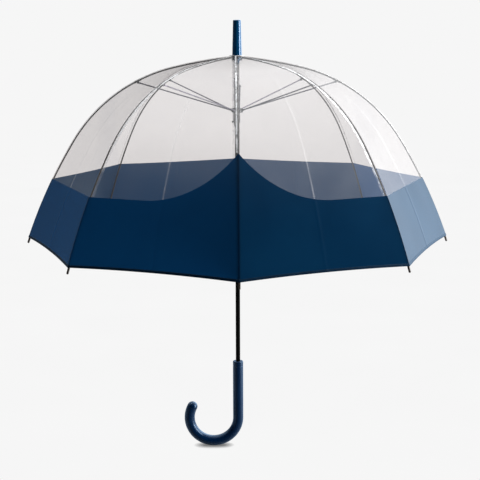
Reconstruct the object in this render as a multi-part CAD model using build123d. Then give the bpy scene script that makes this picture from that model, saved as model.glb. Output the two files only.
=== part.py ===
"""Clear dome umbrella: crook handle, steel shaft, eight folding ribs and a transparent canopy
with a coloured band around its hem. Millimetres, +Z up, origin at the middle of the straight grip."""
import os
from math import cos, degrees, radians, sin

from build123d import *

# --- heights along the shaft -------------------------------------------------------------------
GRIP_TOP = 61.5  # top of the handle, above the origin
GRIP_STRAIGHT_END = -62.5  # where the grip starts to curve into the crook
APEX_Z = 698.0  # top of the canopy
FERRULE_TIP_Z = APEX_Z + 66.4
RUNNER_PIVOT_Z = APEX_Z - 112.4  # stretcher pivots in the runner, umbrella open

# --- handle ------------------------------------------------------------------------------------
GRIP_R = 10.8
CROOK_R = 51.5  # centreline radius of the crook
CROOK_TURN = 208.0  # degrees, so that the tip leans back towards the shaft
COLLAR_R = 10.8
COLLAR_H = 5.0
GROOVE_DEPTH = 0.5
GROOVE_BELOW_TOP = 10.6
HANDLE_BORE_DEPTH = 75.0

# --- shaft -------------------------------------------------------------------------------------
SHAFT_R = 4.6
SHAFT_WALL = 0.7
SHAFT_INTO_FERRULE = 20.0
STOP_PIN_R = 0.9
STOP_PIN_LENGTH = 11.0
STOP_PIN_Z = APEX_Z - 103.5

# --- canopy outline, measured along a rib from the crown ---------------------------------------
RIB_COUNT = 8
RIB_STEP = 360.0 / RIB_COUNT
FRONT_RIB_AZIMUTH = -90.0
CANOPY_START_R = 8.0  # radius at length 0
CANOPY_START_DROP = 4.0  # below the apex at length 0
START_SLOPE = radians(5.35)
TOP_ARC_R = 856.0
TOP_ARC_L = 125.0
SHOULDER_ARC_R = 330.0
SHOULDER_ARC_L = 255.0
SKIRT_ARC_R = 1053.0
FILM_FROM = 5.0  # lengths along the rib
STRETCHER_AT = 199.3
FLEX_AT = 275.0
BAND_AT = 470.7
HEM_AT = 602.5
TIP_AT = 614.5
FILM_T = 0.6
SEAM_GAP = 0.2  # half the gap between neighbouring panels
FLEX_GAP = 0.25  # half the gap between upper and lower panels
PEAK_RISE = 84.0  # how far the band climbs at the front rib
PEAK_REACH = 0.62  # fraction of the gore over which it falls back to its level

# --- ribs --------------------------------------------------------------------------------------
RIB_R = 1.5
RIB_DROP = 3.0  # rib centreline below the outside of the film
RIB_TONGUE_L = 8.0
TONGUE_T = 1.6
TONGUE_H = 3.0
RIB_EYE_R = 2.2
FLEX_BUTT = 0.7  # half the gap between the two lengths of a rib
TIP_R = 2.1
TIP_CAP_L = 16.0
CLIP_R = 2.2
CLIP_L = 16.0
LUG_DROP = 3.4  # stretcher pivot below the rib centreline
LUG_T = 1.5
LUG_R = 2.2
RIVET_R = 0.85
RIVET_HEAD_R = 1.6
RIVET_HEAD_T = 0.8

# --- stretchers --------------------------------------------------------------------------------
STRETCHER_R = 1.3
STRETCHER_SIDE = 3.9  # stretchers lie beside the ribs, not under them
STRETCHER_TONGUE_L = 6.4
STRETCHER_EYE_R = 2.4
STRETCHER_FOOT_R = 1.8
EYE_CLEARANCE = 0.1
PLATE_CLEARANCE = 0.3

# --- crown and runner --------------------------------------------------------------------------
CROWN_R = 10.5
CROWN_TOP = -4.1  # from the apex
CROWN_BOTTOM = -13.2
CROWN_SLOT_FROM = 5.2
CROWN_WIRE_R = 0.5
SLOT_CLEARANCE = 0.2
WASHER_R = 15.0
WASHER_T = 1.2
RUNNER_BORE_R = SHAFT_R + 0.3
RUNNER_SLEEVE_R = 6.0
RUNNER_FLANGE_R = 11.5
RUNNER_FLANGE_H = 8.0
RUNNER_ABOVE = 6.4  # sleeve above and below the pivots
RUNNER_BELOW = 24.6
RUNNER_PIVOT_R = 9.0
RUNNER_SLOT_FROM = 6.7
KEYWAY_HALF_W = 1.2
KEYWAY_REACH = 6.7

# --- runner lever ------------------------------------------------------------------------------
LEVER_W = 3.0
LEVER_T = 0.9
LEVER_GAP = 0.35
LEVER_FROM = -5.2  # from the pivots
LEVER_KNOB_R = 1.9
LEVER_KNOB_OUT = 1.4  # knob's middle outside the strip's
LEVER_PIN_R = 0.6

# --- shaft catches -----------------------------------------------------------------------------
CATCH_T = 1.4
CATCH_OUT = 1.8
CATCH_H = 11.0
CATCH_LEG_L = 34.0
CATCH_LEG_T = 0.6
CATCH_LEG_W = 3.4
CATCH_SLOT_CLEARANCE = 0.3
UPPER_CATCH_TOP = RUNNER_PIVOT_Z - RUNNER_BELOW - 0.4
RUNNER_TRAVEL = 286.0
LOWER_CATCH_BOTTOM = RUNNER_PIVOT_Z + RUNNER_ABOVE - RUNNER_TRAVEL + 0.4

# --- ferrule -----------------------------------------------------------------------------------
FERRULE_TOP_R = 7.8
FERRULE_BASE_R = 9.5
FERRULE_EDGE = 2.2
FERRULE_BASE_Z = APEX_Z + CROWN_TOP + WASHER_T

HALF_STEP = radians(RIB_STEP / 2)


# ================================ canopy outline ===============================================
def outline(length, drop=0.0):
    """Radius, height and slope on the canopy outline, drop mm inside it."""
    arcs = [(TOP_ARC_R, TOP_ARC_L), (SHOULDER_ARC_R, SHOULDER_ARC_L), (SKIRT_ARC_R, 1e6)]
    radius, height, slope = CANOPY_START_R, APEX_Z - CANOPY_START_DROP, START_SLOPE
    left = length
    for arc_r, arc_l in arcs:
        step = min(left, arc_l)
        turned = slope + step / arc_r
        radius += arc_r * (sin(turned) - sin(slope))
        height -= arc_r * (cos(slope) - cos(turned))
        slope = turned
        left -= step
        if left <= 0:
            break
    return radius - drop * sin(slope), height - drop * cos(slope), slope


def outline_point(length, drop=0.0):
    """The same point as a vector in the XZ plane."""
    radius, height, _ = outline(length, drop)
    return Vector(radius, 0, height)


def outline_edges(start, end, drop=0.0):
    """Tangent arcs that follow the outline from one length to another."""
    joins = [TOP_ARC_L, TOP_ARC_L + SHOULDER_ARC_L]
    stops = [start] + [j for j in joins if start < j < end] + [end]
    edges = []
    for a, b in zip(stops, stops[1:]):
        through = [outline_point(s, drop) for s in (a, (a + b) / 2, b)]
        edges.append(Edge.make_three_point_arc(*through))
    return edges


def azimuth(index):
    """Azimuth of a rib, counted round from the front one."""
    return FRONT_RIB_AZIMUTH + RIB_STEP * index


def around(shape, index):
    """A shape made in the XZ plane, turned to its rib."""
    return Rot(0, 0, azimuth(index)) * shape


# ================================ canopy =======================================================
def half_panel(start, end, side):
    """Film from a rib to the middle of the gore beside it; side is +1 or -1."""
    outer = outline_edges(start, end)
    inner = outline_edges(start, end, FILM_T)
    ends = [
        Edge.make_line(outline_point(end), outline_point(end, FILM_T)),
        Edge.make_line(outline_point(start, FILM_T), outline_point(start)),
    ]
    section = Face(Wire(outer + inner + ends))
    chord = Vector(-sin(side * HALF_STEP), cos(side * HALF_STEP), 0) * side
    widest = outline(end)[0]
    sheet = extrude(section, amount=widest, dir=chord)
    beyond = Box(2 * widest, widest, 2 * widest, align=(Align.MIN, Align.MIN, Align.CENTER))
    beyond = Pos(0, -SEAM_GAP, APEX_Z - widest / 2) * beyond
    beyond = Rot(0, 0, degrees(HALF_STEP)) * beyond
    if side < 0:
        beyond = beyond.mirror(Plane.XZ)
    return sheet - beyond


def panel(start, end):
    """The film that one length of a rib carries, to the middle of both gores."""
    return half_panel(start, end, 1) + half_panel(start, end, -1)


def band_edge_height(across):
    """Height of the band's front edge, a fraction across the gore from the front rib."""
    level = outline(BAND_AT)[1]
    return level + PEAK_RISE * max(0.0, 1 - across / PEAK_REACH) ** 2


def above_front_edge(side):
    """Everything above the band's curved edge, in the front gore on one side of a rib at azimuth 0."""
    half_width = outline(BAND_AT)[0] * sin(HALF_STEP)

    def on_edge(across):
        return Vector(0, side * half_width * (2 * across - 1), band_edge_height(across))

    steps = 6
    curve = Edge.make_spline([on_edge(PEAK_REACH * n / steps) for n in range(steps + 1)])
    outer = on_edge(1.2)
    inner = on_edge(0)
    high_outer = Vector(0, outer.Y, APEX_Z)
    high_inner = Vector(0, inner.Y, APEX_Z)
    frame = Polyline(on_edge(PEAK_REACH), outer, high_outer, high_inner, inner)
    face = Face(Wire([curve] + list(frame.edges())))
    prism = extrude(face, amount=2 * outline(HEM_AT)[0], dir=(1, 0, 0))
    return Rot(0, 0, side * degrees(HALF_STEP)) * prism


def above_level():
    """Everything above the band's straight edge."""
    size = 2 * outline(TIP_AT)[0]
    return Pos(0, 0, outline(BAND_AT)[1]) * Box(
        size, size, size, align=(Align.CENTER, Align.CENTER, Align.MIN)
    )


def lower_panels(index):
    """Clear side panel and coloured band panel of one rib."""
    clear = []
    band = []
    for side in (1, -1):
        sheet = half_panel(FLEX_AT + FLEX_GAP, HEM_AT, side)
        gore = (index + (0 if side > 0 else -1)) % RIB_COUNT
        over = above_level()
        if gore in (0, RIB_COUNT - 1):
            front = above_front_edge(1 if gore == 0 else -1)
            over = Rot(0, 0, -RIB_STEP * index) * front
        clear.append(sheet & over)
        band.append(sheet - over)
    return clear[0] + clear[1], band[0] + band[1]


# ================================ ribs =========================================================
def rod(start, end, drop, radius):
    """Round rod along the outline."""
    path = Wire(outline_edges(start, end, drop))
    centre = outline_point(start, drop)
    slope = outline(start)[2]
    along = Vector(cos(slope), 0, -sin(slope))
    return sweep(Plane(origin=centre, z_dir=along) * Circle(radius), path=path)


def across_pin(centre, radius, start, end):
    """Round pin along Y, from one Y to another."""
    plane = Plane(origin=(centre.X, start, centre.Z), z_dir=(0, 1, 0))
    return extrude(plane * Circle(radius), amount=end - start)


def bar_between(a, b, height, start, end):
    """Flat bar between two points in the XZ plane, from one Y to another."""
    run = b - a
    plane = Plane(origin=(a.X, start, a.Z), x_dir=run, z_dir=(0, 1, 0))
    flat = plane * (Pos(run.length / 2, 0) * Rectangle(run.length, height))
    return extrude(flat, amount=end - start)


def rib_pivot():
    return outline_point(0, RIB_DROP)


def stretcher_pivot():
    return outline_point(STRETCHER_AT, RIB_DROP + LUG_DROP)


def rib_upper():
    """Top length of a rib: eye and tongue in the crown, rod, and the clip with its rivet."""
    pivot = rib_pivot()
    half = TONGUE_T / 2
    tongue = bar_between(pivot, outline_point(RIB_TONGUE_L, RIB_DROP), TONGUE_H, -half, half)
    eye = across_pin(pivot, RIB_EYE_R, -half, half)
    hole = across_pin(pivot, CROWN_WIRE_R + EYE_CLEARANCE, -TONGUE_T, TONGUE_T)
    body = rod(RIB_TONGUE_L - 0.5, FLEX_AT - FLEX_BUTT, RIB_DROP, RIB_R)
    return Compound(children=[(body + tongue + eye - hole).solid(), rib_clip()])


def rib_clip():
    """Crimped sleeve with a lug and the rivet that the stretcher turns on."""
    half = CLIP_L / 2
    sleeve = rod(STRETCHER_AT - half, STRETCHER_AT + half, RIB_DROP, CLIP_R)
    pivot = stretcher_pivot()
    lug_out = STRETCHER_SIDE - TONGUE_T / 2 - PLATE_CLEARANCE
    lug_in = lug_out - LUG_T
    lug = across_pin(pivot, LUG_R, lug_in, lug_out)
    top = outline_point(STRETCHER_AT, RIB_DROP)
    lug += bar_between(pivot, top, 2 * LUG_R, lug_in, lug_out)
    head_at = STRETCHER_SIDE + TONGUE_T / 2 + PLATE_CLEARANCE
    rivet = across_pin(pivot, RIVET_R, lug_in, head_at + RIVET_HEAD_T / 2)
    head = across_pin(pivot, RIVET_HEAD_R, head_at, head_at + RIVET_HEAD_T)
    head = fillet(head.edges().group_by(Axis.Y)[-1], RIVET_HEAD_T * 0.6)
    inside = rod(STRETCHER_AT - half - 1, STRETCHER_AT + half + 1, RIB_DROP, RIB_R)
    return (sleeve + lug + rivet + head - inside).solid()


def rib_lower():
    """Bottom length of a rib and the cap on its end."""
    body = rod(FLEX_AT + FLEX_BUTT, TIP_AT - TIP_CAP_L + 2, RIB_DROP, RIB_R)
    cap_start = TIP_AT - TIP_CAP_L
    cap_end = TIP_AT - TIP_R
    cap = rod(cap_start, cap_end, RIB_DROP, TIP_R)
    ball = Pos(*outline_point(cap_end, RIB_DROP)) * Sphere(TIP_R)
    cap = cap + ball - body
    return Compound(children=[body.solid(), cap.solid()])


# ================================ stretchers ===================================================
def stretcher():
    """Round rod beside the rib, flattened to an eye at the rib and a foot in the runner."""
    top = stretcher_pivot()
    foot = Vector(RUNNER_PIVOT_R, 0, RUNNER_PIVOT_Z)
    along = (top - foot).normalized()
    near = STRETCHER_SIDE - TONGUE_T / 2
    far = STRETCHER_SIDE + TONGUE_T / 2
    shape = across_pin(top, STRETCHER_EYE_R, near, far)
    shape += across_pin(foot, STRETCHER_FOOT_R, near, far)
    foot_end = foot + along * STRETCHER_TONGUE_L
    top_end = top - along * STRETCHER_TONGUE_L
    shape += bar_between(foot, foot_end, TONGUE_H, near, far)
    shape += bar_between(top_end, top, TONGUE_H, near, far)
    start = foot_end - along * 0.5
    length = (top_end - foot_end).length + 1.0
    plane = Plane(origin=(start.X, STRETCHER_SIDE, start.Z), z_dir=along)
    shape += extrude(plane * Circle(STRETCHER_R), amount=length)
    shape -= across_pin(top, RIVET_R + EYE_CLEARANCE, near - 1, far + 1)
    shape -= across_pin(foot, CROWN_WIRE_R + EYE_CLEARANCE, near - 1, far + 1)
    return shape.solid()


# ================================ crown, runner and shaft ======================================
def ring_slots(start_r, end_r, side, z_low, z_high):
    """Radial slots, one per rib, side mm to the left of the rib's own plane."""
    width = TONGUE_T + 2 * SLOT_CLEARANCE
    slot = Box(end_r - start_r, width, z_high - z_low, align=(Align.MIN, Align.CENTER, Align.MIN))
    slot = Pos(start_r, side, z_low) * slot
    return [around(slot, n) for n in range(RIB_COUNT)]


def upright(radius, z_low, z_high):
    """Round bar on the shaft's axis."""
    return Pos(0, 0, z_low) * Cylinder(
        radius, z_high - z_low, align=(Align.CENTER, Align.CENTER, Align.MIN)
    )


def crown():
    """Notched hub under the canopy's top, in which the rib eyes turn on a ring of wire."""
    low, high = APEX_Z + CROWN_BOTTOM, APEX_Z + CROWN_TOP
    hub = upright(CROWN_R, low, high)
    hub = fillet(hub.edges().group_by(Axis.Z)[0], 1.0)
    hub -= upright(SHAFT_R, low - 1, high + 1)
    for slot in ring_slots(CROWN_SLOT_FROM, CROWN_R + 1, 0, low - 1, high + 1):
        hub -= slot
    pivot = rib_pivot()
    groove = Pos(0, 0, pivot.Z) * Torus(pivot.X, CROWN_WIRE_R + 0.05)
    return (hub - groove).solid()


def crown_wire():
    pivot = rib_pivot()
    return Pos(0, 0, pivot.Z) * Torus(pivot.X, CROWN_WIRE_R)


def canopy_washer():
    """Disc that holds the film down around the shaft."""
    low = APEX_Z + CROWN_TOP
    disc = upright(WASHER_R, low, low + WASHER_T)
    disc = fillet(disc.edges().group_by(Axis.Z)[-1], 0.5)
    return disc - upright(SHAFT_R, low - 1, low + 3)


def ferrule():
    """Plastic cap over the top of the shaft, a little thinner towards its tip."""
    length = FERRULE_TIP_Z - FERRULE_BASE_Z
    cap = Pos(0, 0, FERRULE_BASE_Z) * Cone(
        FERRULE_BASE_R, FERRULE_TOP_R, length, align=(Align.CENTER, Align.CENTER, Align.MIN)
    )
    cap = fillet(cap.edges().group_by(Axis.Z)[-1], FERRULE_EDGE)
    return cap - upright(SHAFT_R, FERRULE_BASE_Z - 1, APEX_Z + SHAFT_INTO_FERRULE)


def catch_slot(z_low, z_high):
    """Cutter for the window that a catch comes out of."""
    gap = CATCH_SLOT_CLEARANCE
    return Pos(0, 0, z_low - gap) * Box(
        2 * SHAFT_R,
        CATCH_T + 2 * gap,
        z_high - z_low + 2 * gap,
        align=(Align.MAX, Align.CENTER, Align.MIN),
    )


def shaft():
    """Steel tube from inside the handle to inside the ferrule."""
    low = GRIP_TOP - HANDLE_BORE_DEPTH
    high = APEX_Z + SHAFT_INTO_FERRULE
    tube = upright(SHAFT_R, low, high)
    tube -= upright(SHAFT_R - SHAFT_WALL, low - 1, high + 1)
    tube -= catch_slot(UPPER_CATCH_TOP - CATCH_H, UPPER_CATCH_TOP)
    tube -= catch_slot(LOWER_CATCH_BOTTOM, LOWER_CATCH_BOTTOM + CATCH_H)
    return (tube - stop_pin()).solid()


def stop_pin():
    """Cross pin that keeps the runner from going too high."""
    half = STOP_PIN_LENGTH / 2
    return across_pin(Vector(0, 0, STOP_PIN_Z), STOP_PIN_R, -half, half)


def catch(flat_z, direction):
    """Sprung tooth with a flat that stops the runner and a ramp on its other side."""
    half = CATCH_T / 2
    out = SHAFT_R + CATCH_OUT
    end_z = flat_z + direction * CATCH_H
    tooth = Polyline(
        (0, 0, flat_z), (-out, 0, flat_z), (-out, 0, flat_z + direction * 2.0),
        (-SHAFT_R, 0, end_z), (0, 0, end_z), close=True,
    )
    plate = extrude(Face(Wire(tooth.edges())), amount=half, dir=(0, 1, 0), both=True)
    middle = (flat_z + end_z) / 2
    leg = Pos(0, 0, middle) * Box(CATCH_LEG_T, CATCH_LEG_W, CATCH_LEG_L)
    return (plate + leg).solid()


def runner():
    """Sliding sleeve with a slotted flange for the stretchers and a keyway over the catches."""
    low, high = RUNNER_PIVOT_Z - RUNNER_BELOW, RUNNER_PIVOT_Z + RUNNER_ABOVE
    half = RUNNER_FLANGE_H / 2
    flange = upright(RUNNER_FLANGE_R, RUNNER_PIVOT_Z - half, RUNNER_PIVOT_Z + half)
    flange = fillet(flange.edges(), 0.8)
    body = upright(RUNNER_SLEEVE_R, low, high) + flange
    body -= upright(RUNNER_BORE_R, low - 1, high + 1)
    slots = ring_slots(
        RUNNER_SLOT_FROM, RUNNER_FLANGE_R + 1, STRETCHER_SIDE,
        RUNNER_PIVOT_Z - half - 1, RUNNER_PIVOT_Z + half + 1,
    )
    for slot in slots:
        body -= slot
    keyway = Pos(0, 0, low - 1) * Box(
        KEYWAY_REACH, 2 * KEYWAY_HALF_W, high - low + 2, align=(Align.MAX, Align.CENTER, Align.MIN)
    )
    return (body - keyway).solid()


def runner_lever():
    """Thumb lever over the runner's keyway, thin, with a knob at its lower end."""
    inner = KEYWAY_REACH + LEVER_GAP
    high = RUNNER_PIVOT_Z + LEVER_FROM
    low = RUNNER_PIVOT_Z - RUNNER_BELOW + LEVER_KNOB_R
    middle = -(inner + LEVER_T / 2)
    strip = Pos(middle, 0, low) * Box(
        LEVER_T, LEVER_W, high - low, align=(Align.CENTER, Align.CENTER, Align.MIN)
    )
    half = LEVER_W / 2
    knob = across_pin(Vector(middle - LEVER_KNOB_OUT, 0, low), LEVER_KNOB_R, -half, half)
    knob = fillet(knob.edges(), 0.5)
    barrel = across_pin(Vector(middle, 0, high), LEVER_T / 2 + 0.3, -half, half)
    return (strip + knob + barrel).solid()


# ================================ handle =======================================================
def handle():
    """Round grip that curves into a crook with a rounded end, bored for the shaft."""
    top = GRIP_TOP - COLLAR_H
    straight = upright(GRIP_R, GRIP_STRAIGHT_END, top)
    centre = Vector(-CROOK_R, 0, GRIP_STRAIGHT_END)
    bend = Edge.make_circle(
        CROOK_R, Plane(origin=centre, x_dir=(1, 0, 0), z_dir=(0, 1, 0)), 0, CROOK_TURN
    )
    section = Plane(origin=bend @ 0, z_dir=bend % 0) * Circle(GRIP_R)
    crook = sweep(section, path=Wire([bend]))
    tip = Pos(*(bend @ 1)) * Sphere(GRIP_R)
    grip = straight + crook + tip
    groove_z = GRIP_TOP - GROOVE_BELOW_TOP
    grip -= Pos(0, 0, groove_z) * Torus(GRIP_R + 0.4, GROOVE_DEPTH + 0.4)
    return (grip - upright(SHAFT_R, GRIP_TOP - HANDLE_BORE_DEPTH, GRIP_TOP)).solid()


def handle_collar():
    """Ring that closes the top of the grip around the shaft."""
    low = GRIP_TOP - COLLAR_H
    ring = upright(COLLAR_R, low, GRIP_TOP)
    ring = fillet(ring.edges().group_by(Axis.Z)[-1], 1.6)
    return ring - upright(SHAFT_R, low - 1, GRIP_TOP + 1)


# ================================ assembly =====================================================
def save(shape, node):
    export_step(shape, f"parts/{node}.step")


os.makedirs("parts", exist_ok=True)

save(handle(), "handle")
save(handle_collar(), "handle_collar")
save(shaft(), "shaft")
save(stop_pin(), "stop_pin")
save(ferrule(), "ferrule")
save(canopy_washer(), "canopy_washer")
save(crown(), "crown")
save(crown_wire(), "crown_wire")
save(runner(), "runner")
save(runner_lever(), "runner_lever")
save(catch(UPPER_CATCH_TOP, -1), "upper_catch")
save(catch(LOWER_CATCH_BOTTOM, 1), "lower_catch")

upper_rib = rib_upper()
lower_rib = rib_lower()
stretcher_rod = stretcher()
top_panel = panel(FILM_FROM, FLEX_AT - FLEX_GAP)
for number in range(RIB_COUNT):
    name = number + 1
    save(around(upper_rib, number), f"rib_upper_{name}")
    save(around(lower_rib, number), f"rib_lower_{name}")
    save(around(stretcher_rod, number), f"stretcher_{name}")
    save(around(top_panel, number), f"canopy_top_{name}")
    side_panel, band_panel = lower_panels(number)
    save(around(side_panel, number), f"canopy_side_{name}")
    save(around(band_panel, number), f"canopy_band_{name}")
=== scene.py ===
"""Clear dome umbrella with a navy hem band: film, hems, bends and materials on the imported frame."""
from math import cos, pi, radians, sin

import bpy
import numpy as np
from mathutils import Matrix, Vector, noise


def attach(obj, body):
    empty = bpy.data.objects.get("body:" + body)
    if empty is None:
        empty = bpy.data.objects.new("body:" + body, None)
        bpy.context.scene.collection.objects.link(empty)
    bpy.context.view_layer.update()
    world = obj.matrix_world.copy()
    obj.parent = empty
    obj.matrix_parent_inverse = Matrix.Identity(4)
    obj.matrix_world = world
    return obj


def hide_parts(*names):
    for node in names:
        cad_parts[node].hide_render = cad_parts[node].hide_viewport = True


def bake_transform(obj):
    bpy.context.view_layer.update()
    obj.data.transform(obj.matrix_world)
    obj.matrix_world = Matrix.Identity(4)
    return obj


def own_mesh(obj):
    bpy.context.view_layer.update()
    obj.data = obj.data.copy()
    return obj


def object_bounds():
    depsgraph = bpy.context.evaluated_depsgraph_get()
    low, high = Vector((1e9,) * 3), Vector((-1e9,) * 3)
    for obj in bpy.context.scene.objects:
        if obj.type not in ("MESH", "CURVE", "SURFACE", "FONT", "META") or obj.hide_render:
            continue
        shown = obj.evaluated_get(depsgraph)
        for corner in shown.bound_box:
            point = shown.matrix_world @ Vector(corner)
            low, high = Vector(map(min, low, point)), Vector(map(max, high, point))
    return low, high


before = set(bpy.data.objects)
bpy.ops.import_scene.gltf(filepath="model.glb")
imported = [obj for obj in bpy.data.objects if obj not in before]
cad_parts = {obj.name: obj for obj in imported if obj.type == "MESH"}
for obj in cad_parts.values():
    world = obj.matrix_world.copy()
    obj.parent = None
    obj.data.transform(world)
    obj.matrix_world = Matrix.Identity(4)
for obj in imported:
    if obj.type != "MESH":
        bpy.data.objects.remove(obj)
CAD_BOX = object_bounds()

# --- canopy outline, as in the CAD model, in metres --------------------------------------------
RIB_COUNT = 8
RIB_STEP = 2 * pi / RIB_COUNT
HALF_STEP = RIB_STEP / 2
FRONT_AZIMUTH = -pi / 2
APEX_Z = 0.698
START_R = 0.008
START_DROP = 0.004
START_SLOPE = radians(5.35)
ARCS = ((0.856, 0.125), (0.330, 0.255), (1.053, 10.0))  # radius and length of each arc
FILM_FROM = 0.005  # this and the next three are lengths along the rib
FLEX_AT = 0.275
BAND_AT = 0.4707
HEM_AT = 0.6025
PEAK_RISE = 0.084  # how far the band climbs at the front rib
PEAK_REACH = 0.62  # share of the gore over which it climbs
RIB_DROP = 0.003  # from the film in to the rib's axis
RIB_R = 0.0015
TABLE_END = 0.62  # the outline is tabled to just past the rib tips
TABLE_ROWS = 1241

# --- how the film lies -------------------------------------------------------------------------
ROW_STEP = 0.0035
COLUMNS = 36
CROWDING = 0.13  # how far the columns crowd towards the rib and the gore's middle
TIGHT_FROM = 0.2  # length along the rib by which the film has its full shape
BOW = 0.0022  # how far a gore is pulled in between its ribs
CREASE = 0.0003  # ridge left along the middle of a gore by folding
CREASE_WIDTH = 0.003
CREASE_MARK_AND_SHEEN_WIDTH = 0.0013  # width of the whitened line on top of the ridge, partly a fold mark and partly a painted highlight
CREASE_MARK_AND_SHEEN_AT = (0.17, 0.27, 0.45, 0.60)  # lengths along the rib
CREASE_MARK_AND_SHEEN_SHARE = (0.0, 0.8, 1.0, 0.6)  # how white the line is there: fold mark and painted highlight
CREASE_MARK_AND_SHEEN_GORES = (0.35, 0.5, 0.3, 0.1, 0.1, 0.3, 1.0, 0.65)  # how white each gore's crease is: fold mark and a painted highlight that differs from gore to gore
CRINKLE = 0.0006  # puckers beside the welded seams
CRINKLE_EASE = 0.003  # width beside the rib in which the puckers grow
CRINKLE_REACH = 0.007
CRINKLE_PITCH = 0.010
CRINKLE_ACROSS = 0.012
CRINKLE_SEED = 7.0
CRINKLE_AT = (0.0, 0.05, 0.10, 0.32, 0.42, 0.60)  # lengths along the rib
CRINKLE_SHARE = (0.0, 0.5, 1.0, 1.0, 0.35, 0.10)  # how deep the puckers are there
WAVE = 0.0006  # long soft waves in the film
WAVE_PITCH = 0.09
WAVE_ACROSS = 1.1
WAVE_GORE_STEP = 3.7  # sets each gore's waves apart from the next one's
WAVE_SEED = 3.0
WELD_FROM = (0.0016, 0.0046, 0.0046, 0.0046, 0.0046, 0.0046, 0.0046, 0.0046)  # from each rib's line
WELD_WIDTH = (0.0032, 0.0050, 0.0050, 0.0050, 0.0050, 0.0050, 0.0050, 0.0050)
WELD_MILK_AND_GLINT_AT = (0.03, 0.07, 0.34, 0.44)  # lengths along the rib
WELD_MILK_AND_GLINT = (0.4, 1.0, 0.9, 0.12)  # how white the strip is there: milky weld and painted glints
WELD_STEP = 0.0018
WELD_COLUMNS = 6
WELD_LIFT = 0.0002
WELD_PITCH = 0.0052
WELD_RUFFLE = 0.0007
WELD_RUFFLE_MEAN = 0.6
WELD_SEED = 21.0
WELD_SIDES = (-1, -1, -1, -1, 1, 1, 1, 1)  # which side of each rib it lies on
HEM_RISE = 0.0035  # how far the hem arches up between two ribs
HEM_HEIGHT = 0.005
HEM_THICKNESS = 0.0009
HEM_ROUNDING = 0.3  # share of the thickness
HEM_PAST_FILM = 0.0004
KEEP = {"top": 0.125, "side": 0.08, "band": 0.057}  # widths left when folded

# --- rod over each rib's bend ------------------------------------------------------------------
BEND_REACH = 0.008
BEND_ROWS = 17
BEND_SIDES = 16
BEND_LIFT = 0.00004  # how far it stands proud of the rib

# --- camera and light --------------------------------------------------------------------------
CAMERA_DISTANCE = 2.1514
CAMERA_ABOVE_APEX = 0.0205
CAMERA_PITCH = 0.1820  # this and the next two are in radians
CAMERA_ROLL = -0.0034
CAMERA_TURN = -0.0064
CAMERA_LENS = 79.65
CAMERA_SHIFT_X = 0.0050
CAMERA_SHIFT_Y = -0.0025
PALE = 0.922  # brightness of the studio background
FLOOR_RINGS = (0.3, 0.8, 2.0, 6.0)
FLOOR_SIDES = 48
FLOOR_GREY = 0.28  # how much light the floor throws back at the object
FLOOR_MOTTLE = 0.004
# Painted contact shadow on the floor: how far it reaches and how dark it gets.
CONTACT_SHADOW_REACH = 0.014
CONTACT_SHADOW_DARK = 0.22  # brightness of the floor's painted contact shadow where something touches it
AMBIENT = 0.02  # light from every side
PATCHES = (  # azimuth, height, inner and outer half widths in degrees, brightness
    (40, 14, 20, 56, 1.9),
    (80, 78, 20, 65, 1.8),
    (165, 40, 5, 35, 0.3),
    (135, 2, 8, 48, 0.08),
)
STRIP_PLACE = (1.3, -0.4, 0.6)
STRIP_SIZE = (0.32, 1.4)
STRIP_POWER = 38.0


# ================================ outline ======================================================
def outline(length):
    """Radius, height and slope of the canopy outline at a length along a rib."""
    radius, height, slope = START_R, APEX_Z - START_DROP, START_SLOPE
    left = length
    for arc_r, arc_l in ARCS:
        step = min(left, arc_l)
        turned = slope + step / arc_r
        radius += arc_r * (sin(turned) - sin(slope))
        height -= arc_r * (cos(slope) - cos(turned))
        slope = turned
        left -= step
        if left <= 0:
            break
    return radius, height, slope


TABLE_S = np.linspace(0, TABLE_END, TABLE_ROWS)
TABLE = np.array([outline(s) for s in TABLE_S])


def outline_at(lengths):
    """Arrays of radius, height and slope at an array of lengths."""
    return [np.interp(lengths, TABLE_S, TABLE[:, k]) for k in range(3)]


def length_at_height(heights):
    """Lengths along a rib at an array of heights."""
    return np.interp(-np.asarray(heights), -TABLE[:, 1], TABLE_S)


def azimuth(index):
    return FRONT_AZIMUTH + RIB_STEP * index


def middle_azimuth(index, side):
    """Direction of the middle of the gore on one side of a rib."""
    return azimuth(index) + side * HALF_STEP


def gore_of(index, side):
    """Number of the gore on one side of a rib; gore 0 follows the front rib."""
    return (index if side > 0 else index - 1) % RIB_COUNT


def radial(angle):
    return np.array([cos(angle), sin(angle), 0.0])


def sideways(angle):
    """Level direction square to radial."""
    return np.array([-sin(angle), cos(angle), 0.0])


def outward(angle, slope):
    """Direction square to the outline, away from the inside of the dome."""
    return radial(angle) * sin(slope) + np.array([0, 0, cos(slope)])


def rib_point(index, length, drop=0.0):
    """A point on a rib's line, drop inside the outline."""
    radius, height, slope = outline(length)
    radius -= drop * sin(slope)
    height -= drop * cos(slope)
    point = radial(azimuth(index)) * radius
    point[2] = height
    return point


# ================================ film =========================================================
def columns():
    """Shares of a half gore from its rib to its middle, close together at both ends."""
    u = np.linspace(0, 1, COLUMNS)
    return u - CROWDING * np.sin(2 * pi * u)


def band_edge(index, side, share):
    """Length along the rib at which the band starts, for shares of one half gore."""
    if gore_of(index, side) not in (0, RIB_COUNT - 1):
        return np.full(len(share), BAND_AT)
    across = share / 2 if index == 0 else 1 - share / 2
    level = outline(BAND_AT)[1]
    rise = PEAK_RISE * np.maximum(0, 1 - across / PEAK_REACH) ** 2
    return length_at_height(level + rise)


def hem_edge(share):
    """Length along the rib at which the film ends; it arches up between the ribs."""
    return HEM_AT - HEM_RISE * (1 - (1 - share) ** 2)


def ripple(x, y, seed):
    """Smooth noise over two arrays, from -1 to 1, the same on each run."""
    flat = [noise.noise((float(a), float(b), seed)) for a, b in zip(x.ravel(), y.ravel())]
    return np.array(flat).reshape(x.shape)


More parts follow.
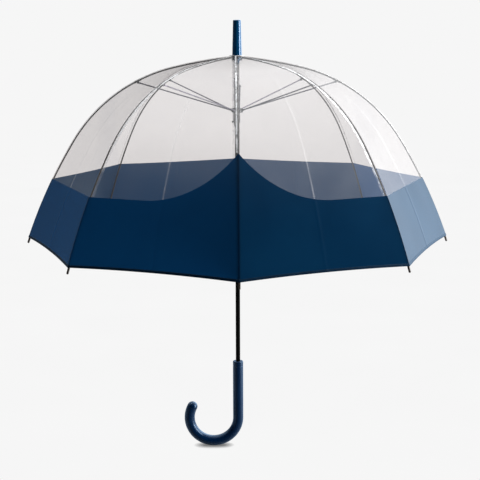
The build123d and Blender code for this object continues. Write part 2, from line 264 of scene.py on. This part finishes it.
def film_points(index, side, lengths, share):
    """Points of a half gore for a grid of lengths and shares.

    Also gives their distances from the rib and from the gore's middle.
    """
    radius, height, slope = outline_at(lengths)
    middle = middle_azimuth(index, side)
    chord = side * sideways(middle)
    rib = radial(azimuth(index))
    away = radius * sin(HALF_STEP) * share
    points = radius[..., None] * rib + away[..., None] * chord
    points[..., 2] = height
    steep = np.sin(slope)
    flat = np.cos(slope) * cos(HALF_STEP)
    size = np.hypot(steep, flat)
    normal = (steep / size)[..., None] * radial(middle)
    normal[..., 2] = flat / size
    to_middle = radius * sin(HALF_STEP) * (1 - share)
    tension = np.clip(lengths / TIGHT_FROM, 0, 1)
    lift = -BOW * tension * (1 - (1 - share) ** 2)
    lift += CREASE * tension * np.exp(-((to_middle / CREASE_WIDTH) ** 2))
    from_middle = gore_of(index, side) * WAVE_GORE_STEP + side * (1 - share)
    wave = ripple(lengths / WAVE_PITCH, from_middle * WAVE_ACROSS, WAVE_SEED)
    lift += WAVE * tension * wave * np.sin(pi * share) ** 2
    pucker = ripple(lengths / CRINKLE_PITCH, side * away / CRINKLE_ACROSS, CRINKLE_SEED + index)
    beside = np.clip(away / CRINKLE_EASE, 0, 1) * np.exp(-away / CRINKLE_REACH)
    tight = np.interp(lengths, CRINKLE_AT, CRINKLE_SHARE)
    lift += CRINKLE * tight * pucker * beside
    return points + lift[..., None] * normal, away, to_middle


def grid_faces(rows, cols, flip):
    """Quads of a grid."""
    corner = np.arange((rows - 1) * cols).reshape(rows - 1, cols)[:, :-1].ravel()
    quads = np.stack([corner, corner + 1, corner + cols + 1, corner + cols], axis=1)
    return quads[:, ::-1] if flip else quads


def new_mesh(name, points, faces, smooth=True):
    mesh = bpy.data.meshes.new(name)
    mesh.from_pydata([tuple(p) for p in points.reshape(-1, 3)], [], [tuple(f) for f in faces])
    if smooth:
        mesh.shade_smooth()
    piece = bpy.data.objects.new(name, mesh)
    bpy.context.scene.collection.objects.link(piece)
    return piece


def store(piece, label, values):
    """Keeps a value for each point of a mesh, which a material can read."""
    attribute = piece.data.attributes.new(label, "FLOAT", "POINT")
    attribute.data.foreach_set("value", values.ravel().astype(np.float32))


def film_piece(name, index, side, start, end, material):
    """One sheet of film from start to end, which are lengths along the rib for each column.

    Also gives the size and the area that it is cut to.
    """
    share = columns()
    rows = int(np.ceil((end - start).max() / ROW_STEP)) + 1
    down = np.linspace(0, 1, rows)[:, None]
    lengths = start[None, :] + (end - start)[None, :] * down
    shares = np.broadcast_to(share, lengths.shape)
    points, away, to_middle = film_points(index, side, lengths, shares)
    piece = new_mesh(name, points, grid_faces(rows, len(share), side < 0))
    # Whitened crease line, partly a fold mark and partly a painted highlight.
    crease_mark_and_sheen = np.exp(-((to_middle / CREASE_MARK_AND_SHEEN_WIDTH) ** 2)) * np.interp(lengths, CREASE_MARK_AND_SHEEN_AT, CREASE_MARK_AND_SHEEN_SHARE)
    store(piece, "from_rib", away)
    store(piece, "crease_mark_and_sheen", crease_mark_and_sheen * CREASE_MARK_AND_SHEEN_GORES[gore_of(index, side)])
    across = away[:, 1:] - away[:, :-1]
    tall = (lengths[1:] - lengths[:-1])[:, :-1]
    area = float((tall * (across[:-1] + across[1:]) / 2).sum())
    piece.data.materials.append(material)
    return piece, (float(away.max()), float((end - start).max())), area


def weld_piece(name, index, side, start, end, material):
    """Seam allowance of two welded gores: a milky strip beside the rib with a puckered edge and painted
    glints.
    """
    rows = int((end - start) / WELD_STEP) + 1
    across = WELD_FROM[index] + np.linspace(0, WELD_WIDTH[index], WELD_COLUMNS)
    lengths = np.linspace(start, end, rows)[:, None] * np.ones(len(across))
    width = outline_at(lengths)[0] * sin(HALF_STEP)
    ease = np.clip(width / (2 * across[-1]), 0, 1)
    points, _, _ = film_points(index, side, lengths, across * ease / np.maximum(width, 1e-6))
    outer = np.linspace(0, 1, WELD_COLUMNS)
    ruffle = ripple(lengths / WELD_PITCH, outer * np.ones_like(lengths), WELD_SEED + index)
    slope = outline_at(lengths)[2]
    normal = np.sin(slope)[..., None] * radial(middle_azimuth(index, side))
    normal[..., 2] += np.cos(slope)
    lift = (WELD_LIFT + WELD_RUFFLE * (WELD_RUFFLE_MEAN + ruffle) * outer) * ease
    points += lift[..., None] * normal
    piece = new_mesh(name, points, grid_faces(rows, len(across), side < 0))
    front = index == 0  # its strip is white all the way down, a painted highlight over the milky weld
    weld_milk_and_glint = np.ones(lengths.shape) if front else np.interp(lengths, WELD_MILK_AND_GLINT_AT, WELD_MILK_AND_GLINT)
    store(piece, "weld_milk_and_glint", weld_milk_and_glint)
    piece.data.materials.append(material)
    return piece


def hem_piece(name, index, side, material):
    """Binding folded over the film's lower edge, a thin closed strip."""
    share = columns()
    low = hem_edge(share) + HEM_PAST_FILM
    high = low - HEM_HEIGHT
    lengths = np.stack([high, low, low, high])
    points, _, _ = film_points(index, side, lengths, np.broadcast_to(share, lengths.shape))
    push = np.array([1, 1, -1, -1])[:, None, None] * HEM_THICKNESS / 2
    points = points + push * outward(middle_azimuth(index, side), outline(HEM_AT)[2])
    cols = len(share)
    faces = []
    for row in range(4):
        for col in range(cols - 1):
            a = row * cols + col
            b = (row + 1) % 4 * cols + col
            faces.append((a, a + 1, b + 1, b) if side > 0 else (a, b, b + 1, a + 1))
    ends = [tuple(row * cols for row in range(4)), tuple(row * cols + cols - 1 for row in range(4))]
    faces += [ends[0], ends[1][::-1]] if side > 0 else [ends[0][::-1], ends[1]]
    piece = new_mesh(name, points, faces)
    piece.data.materials.append(material)
    bevel = piece.modifiers.new("edge", "BEVEL")
    bevel.width = HEM_THICKNESS * HEM_ROUNDING
    bevel.segments = 2
    return piece


def fold_axis(index, side, start, end):
    """Direction across the film that shrinks when the ribs fold, square to the rib's chord."""
    chord = side * sideways(middle_azimuth(index, side))
    along = rib_point(index, end) - rib_point(index, start)
    along /= np.linalg.norm(along)
    axis = chord - chord.dot(along) * along
    return tuple(axis / np.linalg.norm(axis))


def fold(piece, body, index, side, start, end, keep):
    """The piece rides on its rib."""
    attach(piece, body)
    anchor = tuple(rib_point(index, start))
    fold_axis(index, side, start, end)
    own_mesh(piece)


def half_gore(index, side, materials):
    """Clear top, clear side, coloured band and hem of one half gore."""
    number = index + 1
    hand = "left" if side < 0 else "right"
    share = columns()
    full = np.ones(len(share))
    edge = band_edge(index, side, share)
    upper, lower = f"rib_upper_{number}", f"rib_lower_{number}"
    spans = {
        "top": (full * FILM_FROM, full * FLEX_AT, upper, "clear"),
        "side": (full * FLEX_AT, edge, lower, "clear"),
        "band": (edge, hem_edge(share), lower, "navy"),
    }
    for part, (start, end, body, finish) in spans.items():
        held = (FILM_FROM, FLEX_AT) if part == "top" else (FLEX_AT, HEM_AT)
        name = f"film_{part}_{number}_{hand}"
        piece, flat, area = film_piece(name, index, side, start, end, materials[finish])
        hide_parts(f"canopy_{part}_{number}")
        trims = []
        if part == "band":
            trims.append(hem_piece(f"hem_{number}_{hand}", index, side, materials["hem"]))
        elif side == WELD_SIDES[index]:
            name = f"weld_{part}_{number}"
            trims.append(weld_piece(name, index, side, start[0], end[0], materials["weld"]))
        for moved in (*trims, piece):
            fold(moved, body, index, side, *held, KEEP[part])


# ================================ rib bends ====================================================
def rib_bend(index, material):
    """Short length of rod over the place where a rib flexes."""
    number = index + 1
    start, end = FLEX_AT - BEND_REACH, FLEX_AT + BEND_REACH
    angles = np.linspace(0, 2 * pi, BEND_SIDES, endpoint=False)
    across = sideways(azimuth(index))
    rings = []
    for length in np.linspace(start, end, BEND_ROWS):
        centre = rib_point(index, length, RIB_DROP)
        normal = outward(azimuth(index), outline(length)[2])
        rings.append([centre + (RIB_R + BEND_LIFT) * (cos(a) * normal + sin(a) * across) for a in angles])
    faces = []
    for row in range(BEND_ROWS - 1):
        for n in range(BEND_SIDES):
            a = row * BEND_SIDES + n
            b = row * BEND_SIDES + (n + 1) % BEND_SIDES
            faces.append((a, b, b + BEND_SIDES, a + BEND_SIDES))
    piece = new_mesh(f"rib_bend_{number}", np.array(rings), faces)
    piece.data.materials.append(material)
    tuple(rib_point(index, start, RIB_DROP))
    tuple(rib_point(index, end, RIB_DROP))
    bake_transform(piece)


# ================================ materials ====================================================
def shader(name, **values):
    """A new material, its node tree and its Principled shader with plain values set."""
    material = bpy.data.materials.new(name)
    material.use_nodes = True
    tree = material.node_tree
    principled = tree.nodes["Principled BSDF"]
    for socket, value in values.items():
        principled.inputs[socket.replace("_", " ")].default_value = value
    return material, tree, principled


def noise_of(tree, scale, detail=4.0, roughness=0.55, stretch=None):
    """Noise in the object's own coordinates, which are metres; the output is its factor."""
    place = tree.nodes.new("ShaderNodeTexCoord")
    texture = tree.nodes.new("ShaderNodeTexNoise")
    texture.inputs["Scale"].default_value = scale
    texture.inputs["Detail"].default_value = detail
    texture.inputs["Roughness"].default_value = roughness
    source = place.outputs["Object"]
    if stretch:
        mapping = tree.nodes.new("ShaderNodeMapping")
        mapping.inputs["Scale"].default_value = stretch
        tree.links.new(source, mapping.inputs["Vector"])
        source = mapping.outputs["Vector"]
    tree.links.new(source, texture.inputs["Vector"])
    return texture.outputs["Fac"]


def ramp(tree, source, low, high, at=(0.35, 0.65)):
    """A value or colour that runs from low to high as the source does from at[0] to at[1]."""
    if isinstance(low, (int, float)):
        node = tree.nodes.new("ShaderNodeMapRange")
        node.inputs["From Min"].default_value = at[0]
        node.inputs["From Max"].default_value = at[1]
        node.inputs["To Min"].default_value = low
        node.inputs["To Max"].default_value = high
        tree.links.new(source, node.inputs["Value"])
        return node.outputs["Result"]
    node = tree.nodes.new("ShaderNodeValToRGB")
    first, last = node.color_ramp.elements
    first.position, last.position = at
    first.color, last.color = (*low, 1), (*high, 1)
    tree.links.new(source, node.inputs["Fac"])
    return node.outputs["Color"]


def bump(tree, principled, height, distance):
    """Fine relief, distance deep in metres."""
    node = tree.nodes.new("ShaderNodeBump")
    node.inputs["Distance"].default_value = distance
    tree.links.new(height, node.inputs["Height"])
    tree.links.new(node.outputs["Normal"], principled.inputs["Normal"])


def combine(tree, operation, a, b):
    """Result of a Math node on two values, each a plain number or an output."""
    node = tree.nodes.new("ShaderNodeMath")
    node.operation = operation
    for socket, value in zip(node.inputs, (a, b)):
        if isinstance(value, (int, float)):
            socket.default_value = value
        else:
            tree.links.new(value, socket)
    return node.outputs[0]


def stored(tree, label):
    """A value stored on the points of the mesh."""
    value = tree.nodes.new("ShaderNodeAttribute")
    value.attribute_name = label
    return value.outputs["Fac"]


def weigh(tree, source, amount):
    """A value times a number or another value."""
    return combine(tree, "MULTIPLY", source, amount)


def facing(tree, power):
    """0 face on and 1 edge on, raised to a power."""
    edge = tree.nodes.new("ShaderNodeLayerWeight")
    edge.inputs["Blend"].default_value = 0.5
    return combine(tree, "POWER", edge.outputs["Facing"], power)


def gloss_coat(tree, under, colour, roughness, face_on, edge_on, power):
    """Mirror-like skin over another shader, stronger towards the edges of the shape."""
    gloss = tree.nodes.new("ShaderNodeBsdfGlossy")
    gloss.inputs["Color"].default_value = (*colour, 1)
    gloss.inputs["Roughness"].default_value = roughness
    amount = combine(tree, "ADD", weigh(tree, facing(tree, power), edge_on), face_on)
    coat = tree.nodes.new("ShaderNodeMixShader")
    tree.links.new(amount, coat.inputs["Fac"])
    tree.links.new(under, coat.inputs[1])
    tree.links.new(gloss.outputs["BSDF"], coat.inputs[2])
    tree.links.new(coat.outputs["Shader"], tree.nodes["Material Output"].inputs["Surface"])


def see_through(tree, skin, cover, tint):
    """Mix of clear film, in its tint, and a skin that hides what is behind it by cover."""
    clear = tree.nodes.new("ShaderNodeBsdfTransparent")
    clear.inputs["Color"].default_value = (*tint, 1)
    mix = tree.nodes.new("ShaderNodeMixShader")
    tree.links.new(cover, mix.inputs["Fac"])
    tree.links.new(clear.outputs["BSDF"], mix.inputs[1])
    tree.links.new(skin.outputs["BSDF"], mix.inputs[2])
    return mix.outputs["Shader"]


def clear_film():
    """Transparent film with a faint milky veil, a white crease line that is partly a fold mark and partly
    a painted highlight, and a glossy skin.
    """
    material, tree, skin = shader("clear_film", Specular_IOR_Level=0.5)
    mottle = noise_of(tree, 14, detail=3)
    tree.links.new(ramp(tree, mottle, 0.10, 0.20), skin.inputs["Roughness"])
    bump(tree, skin, noise_of(tree, 90, detail=3), distance=0.0001)
    # Crease line: whiter colour and more cover, partly fold mark and partly painted highlight.
    crease_mark_and_sheen = stored(tree, "crease_mark_and_sheen")
    crease_mark_and_sheen_colour = ramp(tree, crease_mark_and_sheen, (0.58, 0.60, 0.62), (0.96, 0.96, 0.97), at=(0, 0.3))
    tree.links.new(crease_mark_and_sheen_colour, skin.inputs["Base Color"])
    fold_line_mark_and_sheen = weigh(tree, crease_mark_and_sheen, ramp(tree, noise_of(tree, 30, detail=2), 0.14, 0.38))
    veil = ramp(tree, mottle, 0.09, 0.12)
    for part in (weigh(tree, facing(tree, 4.0), 0.05), fold_line_mark_and_sheen):
        veil = combine(tree, "ADD", veil, part)
    film = see_through(tree, skin, veil, tint=(0.936, 0.914, 0.909))
    gloss_coat(tree, film, (1, 1, 1), roughness=0.09, face_on=0.042, edge_on=0.27, power=5.0)
    return material


def milky_weld_with_glints():
    """Two layers of film fused together: whiter than the film, in patches, which are partly the milky weld
    and partly painted glints.
    """
    material, tree, skin = shader("film_weld_and_glints", Specular_IOR_Level=0.6, Base_Color=(0.93, 0.93, 0.94, 1))
    patches = noise_of(tree, 95, detail=3, roughness=0.6)
    tree.links.new(ramp(tree, patches, 0.12, 0.25), skin.inputs["Roughness"])
    bump(tree, skin, patches, distance=0.0004)
    # White patches: milky weld and painted glints, as strong as the value stored on the points.
    cover = weigh(tree, ramp(tree, patches, 0.35, 0.98, at=(0.40, 0.54)), stored(tree, "weld_milk_and_glint"))
    strip = see_through(tree, skin, cover, tint=(0.97, 0.97, 0.97))
    tree.links.new(strip, tree.nodes["Material Output"].inputs["Surface"])
    return material


def navy_film():
    """Navy printed film: satin, with a fine grain, a darker weld and a little light through it."""
    material, tree, principled = shader("navy_film", Specular_IOR_Level=0.0)
    cloud = noise_of(tree, 9, detail=3)
    body = ramp(tree, cloud, (0.0005, 0.0085, 0.021), (0.0009, 0.012, 0.028))
    dark = tree.nodes.new("ShaderNodeMixRGB")
    dark.inputs["Color2"].default_value = (0.0004, 0.003, 0.008, 1)
    at_rib = ramp(tree, stored(tree, "from_rib"), 0.85, 0.0, at=(0.0011, 0.0018))
    tree.links.new(at_rib, dark.inputs["Fac"])
    tree.links.new(body, dark.inputs["Color1"])
    tree.links.new(dark.outputs["Color"], principled.inputs["Base Color"])
    bump(tree, principled, noise_of(tree, 900, detail=2), distance=0.00003)
    glow = tree.nodes.new("ShaderNodeBsdfTranslucent")
    glow.inputs["Color"].default_value = (0.001, 0.021, 0.066, 1)
    both = tree.nodes.new("ShaderNodeAddShader")
    tree.links.new(principled.outputs["BSDF"], both.inputs[0])
    tree.links.new(glow.outputs["BSDF"], both.inputs[1])
    film, tint = both.outputs["Shader"], (0.66, 0.82, 1.0)
    gloss_coat(tree, film, tint, roughness=0.2, face_on=0.010, edge_on=0.58, power=4.0)
    return material


def coloured_plastic(name, low, high, roughness, face_on, edge_on):
    """Moulded navy plastic whose shine takes some of its colour."""
    material, tree, principled = shader(name, Specular_IOR_Level=0.0)
    cloud = noise_of(tree, 22, detail=4)
    tree.links.new(ramp(tree, cloud, low, high), principled.inputs["Base Color"])
    bump(tree, principled, noise_of(tree, 1200, detail=2), distance=0.00001)
    tint = (0.5, 0.72, 1.0)
    gloss_coat(tree, principled.outputs["BSDF"], tint, roughness, face_on, edge_on, power=1.5)
    return material


def hem_binding():
    """Folded edge, darker and duller than the band, with a fine grain."""
    material, tree, principled = shader("hem_binding", Specular_IOR_Level=0.0)
    cloud = noise_of(tree, 60, detail=3)
    colour = ramp(tree, cloud, (0.0003, 0.007, 0.019), (0.0006, 0.011, 0.028))
    tree.links.new(colour, principled.inputs["Base Color"])
    bump(tree, principled, noise_of(tree, 1400, detail=2), distance=0.0001)
    under, tint = principled.outputs["BSDF"], (0.62, 0.8, 1.0)
    gloss_coat(tree, under, tint, roughness=0.35, face_on=0.01, edge_on=0.35, power=3.0)
    return material


def plastic(name, low, high, roughness, grain, gloss=0.5):
    """Moulded plastic with slight colour variation, fine grain and handling marks."""
    material, tree, principled = shader(name, Specular_IOR_Level=gloss)
    cloud = noise_of(tree, 22, detail=4)
    tree.links.new(ramp(tree, cloud, low, high), principled.inputs["Base Color"])
    scuff = noise_of(tree, 160, detail=6, roughness=0.7)
    worn = ramp(tree, scuff, roughness, roughness + 0.12, at=(0.45, 0.75))
    tree.links.new(worn, principled.inputs["Roughness"])
    bump(tree, principled, noise_of(tree, grain, detail=2), distance=0.00001)
    return material


def metal(name, low, high, roughness, metallic, stretch=(1, 1, 1), gloss=0.5):
    """Lacquered, drawn or plated steel, with fine marks that stretch draws out."""
    material, tree, principled = shader(name, Metallic=metallic, Specular_IOR_Level=gloss)
    streak = noise_of(tree, 700, detail=4, stretch=stretch)
    tree.links.new(ramp(tree, streak, low, high), principled.inputs["Base Color"])
    tree.links.new(ramp(tree, streak, roughness, roughness + 0.15), principled.inputs["Roughness"])
    bump(tree, principled, streak, distance=0.00002)
    return material


def make_materials():
    return {
        "clear": clear_film(),
        "navy": navy_film(),
        "weld": milky_weld_with_glints(),
        "hem": hem_binding(),
        "handle": coloured_plastic(
            "navy_plastic", (0.0004, 0.010, 0.038), (0.0006, 0.013, 0.047),
            roughness=0.3, face_on=0.003, edge_on=0.62,
        ),
        "ferrule": coloured_plastic(
            "ferrule_plastic", (0.0006, 0.030, 0.085), (0.0010, 0.038, 0.105),
            roughness=0.22, face_on=0.010, edge_on=0.75,
        ),
        "black_plastic": plastic("black_plastic", (0.010, 0.010, 0.012), (0.018, 0.018, 0.02), 0.38, 2000),
        "washer": plastic("washer_plastic", (0.55, 0.56, 0.58), (0.65, 0.66, 0.68), 0.2, 1500),
        "rib": plastic("rib_rod", (0.020, 0.014, 0.011), (0.034, 0.026, 0.021), 0.3, 2500, gloss=0.3),
        "shaft": metal(
            "shaft_lacquer", (0.0012, 0.0012, 0.001), (0.002, 0.002, 0.0016), 0.3, 0.0,
            stretch=(1, 1, 0.03), gloss=0.03,
        ),
        "stretcher": metal("stretcher_steel", (0.10, 0.095, 0.12), (0.17, 0.16, 0.19), 0.28, 0.9),
        "bright": metal("bright_steel", (0.55, 0.55, 0.57), (0.7, 0.7, 0.72), 0.2, 1.0),
    }


def dress_frame(materials):
    """Gives every CAD node that stays its material."""
    finishes = {
        "handle": "handle", "handle_collar": "handle", "ferrule": "ferrule",
        "canopy_washer": "washer", "crown": "black_plastic", "runner": "black_plastic",
        "runner_lever": "black_plastic", "shaft": "shaft", "stop_pin": "bright",
        "crown_wire": "bright", "upper_catch": "bright", "lower_catch": "bright",
    }
    for number in range(1, RIB_COUNT + 1):
        finishes[f"rib_upper_{number}"] = "rib"
        finishes[f"rib_lower_{number}"] = "rib"
        finishes[f"stretcher_{number}"] = "stretcher"
    for node, finish in finishes.items():
        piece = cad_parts[node]
        piece.data.materials.clear()
        piece.data.materials.append(materials[finish])


# ================================ studio =======================================================
def add_floor():
    """Floor that looks as bright as the background, with a painted contact shadow where something touches
    it.

    What it throws back at the object is the light on plain grey paint.
    """
    low = CAD_BOX[0][2]
    angles = [2 * pi * k / FLOOR_SIDES for k in range(FLOOR_SIDES)]
    points = [(0, 0, low)]
    for r in FLOOR_RINGS:
        points += [(r * cos(angle), r * sin(angle), low) for angle in angles]
    faces = []
    for k in range(FLOOR_SIDES):
        after = (k + 1) % FLOOR_SIDES
        faces.append((0, 1 + k, 1 + after))
        for ring in range(len(FLOOR_RINGS) - 1):
            a = 1 + ring * FLOOR_SIDES + k
            b = 1 + ring * FLOOR_SIDES + after
            faces.append((a, a + FLOOR_SIDES, b + FLOOR_SIDES, b))
    floor = new_mesh("floor", np.array(points), faces, smooth=False)
    material, tree, principled = shader("floor_paint", Roughness=0.9, Specular_IOR_Level=0.1)
    principled.inputs["Base Color"].default_value = (FLOOR_GREY, FLOOR_GREY, FLOOR_GREY, 1)
    # Painted contact shadow: ambient occlusion darkens the glow that the eye sees.
    contact_shadow = tree.nodes.new("ShaderNodeAmbientOcclusion")
    contact_shadow.samples = 24
    contact_shadow.inputs["Distance"].default_value = CONTACT_SHADOW_REACH
    low_light, high_light = PALE * (1 - FLOOR_MOTTLE), PALE * (1 + FLOOR_MOTTLE)
    cloud = ramp(tree, noise_of(tree, 3, detail=2), low_light, high_light)
    shade = ramp(tree, contact_shadow.outputs["AO"], CONTACT_SHADOW_DARK, 1.0, at=(0.35, 1.0))
    seen = tree.nodes.new("ShaderNodeEmission")
    tree.links.new(weigh(tree, shade, cloud), seen.inputs["Strength"])
    path = tree.nodes.new("ShaderNodeLightPath")
    both = tree.nodes.new("ShaderNodeMixShader")
    tree.links.new(path.outputs["Is Camera Ray"], both.inputs["Fac"])
    tree.links.new(principled.outputs["BSDF"], both.inputs[1])
    tree.links.new(seen.outputs["Emission"], both.inputs[2])
    tree.links.new(both.outputs["Shader"], tree.nodes["Material Output"].inputs["Surface"])
    floor.data.materials.append(material)


def lobe(tree, direction, azimuth_deg, height_deg, inner_deg, outer_deg, strength):
    """Soft round patch of light in the studio's surround; the output is its brightness."""
    az, up = radians(azimuth_deg), radians(height_deg)
    aim = tree.nodes.new("ShaderNodeVectorMath")
    aim.operation = "DOT_PRODUCT"
    aim.inputs[1].default_value = (cos(up) * cos(az), cos(up) * sin(az), sin(up))
    tree.links.new(direction, aim.inputs[0])
    node = tree.nodes.new("ShaderNodeMapRange")
    node.interpolation_type = "SMOOTHSTEP"
    node.inputs["From Min"].default_value = cos(radians(outer_deg))
    node.inputs["From Max"].default_value = cos(radians(inner_deg))
    node.inputs["To Max"].default_value = strength
    tree.links.new(aim.outputs["Value"], node.inputs["Value"])
    return node.outputs["Result"]


def add_world():
    """Even pale surround for the eye, and soft patches of light for the surfaces."""
    world = bpy.data.worlds.new("studio")
    bpy.context.scene.world = world
    world.use_nodes = True
    tree = world.node_tree
    tree.nodes.clear()
    place = tree.nodes.new("ShaderNodeTexCoord")
    light = AMBIENT
    for patch in PATCHES:
        light = combine(tree, "ADD", light, lobe(tree, place.outputs["Generated"], *patch))
    seen = tree.nodes.new("ShaderNodeBackground")
    seen.inputs["Color"].default_value = (1, 1, 1, 1)
    seen.inputs["Strength"].default_value = PALE
    fill = tree.nodes.new("ShaderNodeBackground")
    fill.inputs["Color"].default_value = (0.97, 0.985, 1.0, 1)
    tree.links.new(light, fill.inputs["Strength"])
    path = tree.nodes.new("ShaderNodeLightPath")
    mix = tree.nodes.new("ShaderNodeMixShader")
    out = tree.nodes.new("ShaderNodeOutputWorld")
    tree.links.new(path.outputs["Is Camera Ray"], mix.inputs["Fac"])
    tree.links.new(fill.outputs["Background"], mix.inputs[1])
    tree.links.new(seen.outputs["Background"], mix.inputs[2])
    tree.links.new(mix.outputs["Shader"], out.inputs["Surface"])


def add_strip_light():
    """Tall narrow light at the right, which draws a bright line down the rods and the shaft."""
    light = bpy.data.lights.new("strip", "AREA")
    light.shape = "RECTANGLE"
    light.size, light.size_y = STRIP_SIZE
    light.energy = STRIP_POWER
    lamp = bpy.data.objects.new("strip", light)
    bpy.context.scene.collection.objects.link(lamp)
    lamp.location = STRIP_PLACE
    aim = Vector((0, 0, STRIP_PLACE[2])) - Vector(STRIP_PLACE)
    lamp.rotation_euler = aim.to_track_quat("-Z", "Y").to_euler()


def add_camera():
    """Camera in front of the dome, just above its top and looking down a little."""
    data = bpy.data.cameras.new("camera")
    data.lens = CAMERA_LENS
    data.sensor_width = 36
    data.shift_x = CAMERA_SHIFT_X
    data.shift_y = CAMERA_SHIFT_Y
    data.clip_end = 100
    camera = bpy.data.objects.new("camera", data)
    bpy.context.scene.collection.objects.link(camera)
    turn = Matrix.Rotation(CAMERA_TURN, 4, "Z")
    place = Matrix.Translation((0, -CAMERA_DISTANCE, APEX_Z + CAMERA_ABOVE_APEX))
    look = Matrix.Rotation(pi / 2 - CAMERA_PITCH, 4, "X")
    roll = Matrix.Rotation(CAMERA_ROLL, 4, "Z")
    camera.matrix_world = turn @ place @ look @ roll
    bpy.context.scene.camera = camera


# ================================ build ========================================================
bpy.context.scene.view_settings.view_transform = "Standard"
finishes = make_materials()
dress_frame(finishes)
for rib in range(RIB_COUNT):
    rib_bend(rib, finishes["rib"])
    for rib_side in (-1, 1):
        half_gore(rib, rib_side, finishes)
add_floor()
add_world()
add_strip_light()
add_camera()
